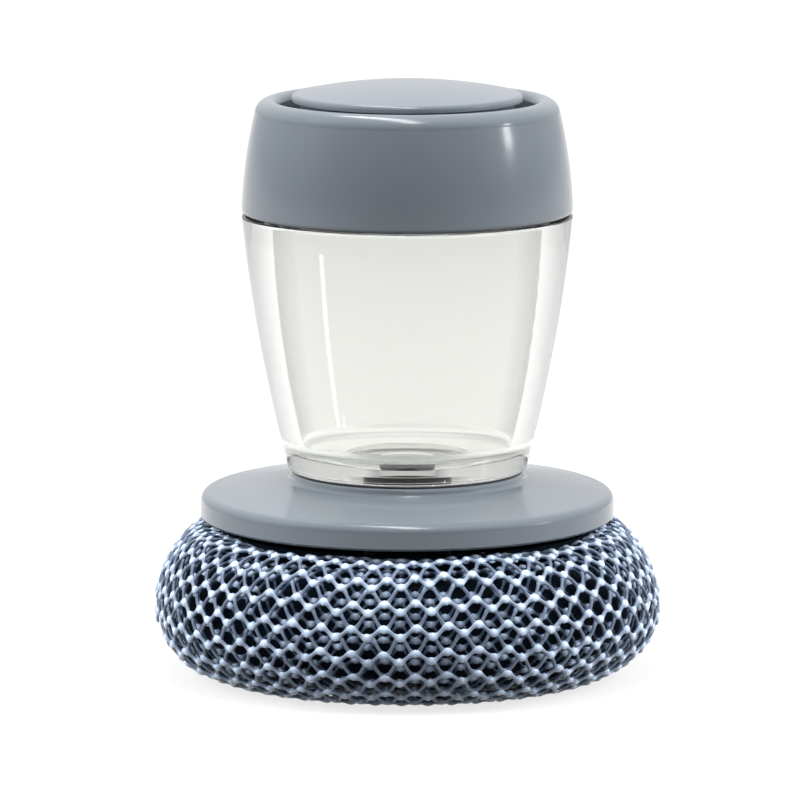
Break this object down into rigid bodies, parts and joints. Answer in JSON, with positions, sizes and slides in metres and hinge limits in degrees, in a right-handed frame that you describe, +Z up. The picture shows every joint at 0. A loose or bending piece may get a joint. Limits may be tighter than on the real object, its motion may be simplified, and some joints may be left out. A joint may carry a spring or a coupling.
{
  "type": "soap dispensing palm scrubber",
  "caption": "Palm scrubber for dishes: knitted mesh bun under a grey plate, clear soap tank, and a grey screw cap whose domed push button pumps soap down through the bun.",
  "frame": {"origin": "on the surface the scrubber stands on, under the middle of the mesh bun", "axes": "+Z up along the axis of bun, tank, cap and button; the front is -Y"},
  "size_m": [0.088, 0.088, 0.1023],
  "materials": {
    "grey_shell": "polished",
    "grey_inner": "as moulded",
    "clear_tank": "polished",
    "mesh_filament": "knitted glossy filament",
    "dark_seal": "moulded",
    "dark_inner": "as moulded",
    "soft_silicone": "moulded, milky",
    "white_inner": "as moulded",
    "spring_steel": "drawn wire"
  },
  "bodies": {
    "head": {"mesh_scrubber": "mesh_filament", "hub_clamp": "grey_inner", "gather_tie": "white_inner", "base_plate": "grey_shell", "seat_gasket": "dark_seal"},
    "tank": {"soap_tank": "clear_tank", "outlet_valve": "dark_seal", "valve_ring": "dark_inner"},
    "cap_lift": {"cap_gasket": "soft_silicone"},
    "cap": {"cap_shell": "grey_shell", "pump_plate": "white_inner", "pump_bellows": "soft_silicone", "pump_spring": "spring_steel", "vent_valve": "soft_silicone"},
    "button": {"press_button": "grey_shell"}
  },
  "joints": [
    {"name": "tank_twist", "type": "hinge", "parent": "head", "child": "tank", "pos_m": [0, 0, 0.0353], "axis": [0, 0, 1], "range_deg": [-50, 0]},
    {"name": "cap_rise", "type": "slide", "parent": "tank", "child": "cap_lift", "axis": [0, 0, 1], "range_m": [0, 0.006]},
    {"name": "cap_turn", "type": "hinge", "parent": "cap_lift", "child": "cap", "pos_m": [0, 0, 0.0795], "axis": [0, 0, 1], "range_deg": [0, 540]},
    {"name": "button_press", "type": "slide", "parent": "cap", "child": "button", "axis": [0, 0, -1], "range_m": [0, 0.0035], "stiffness_N_per_m": 600, "springref_m": -0.002, "deforming": ["pump_bellows", "pump_spring"]}
  ],
  "couplings": [
    {"joint": "cap_turn", "follows": "cap_rise", "rad_per_m": 1570.8}
  ]
}
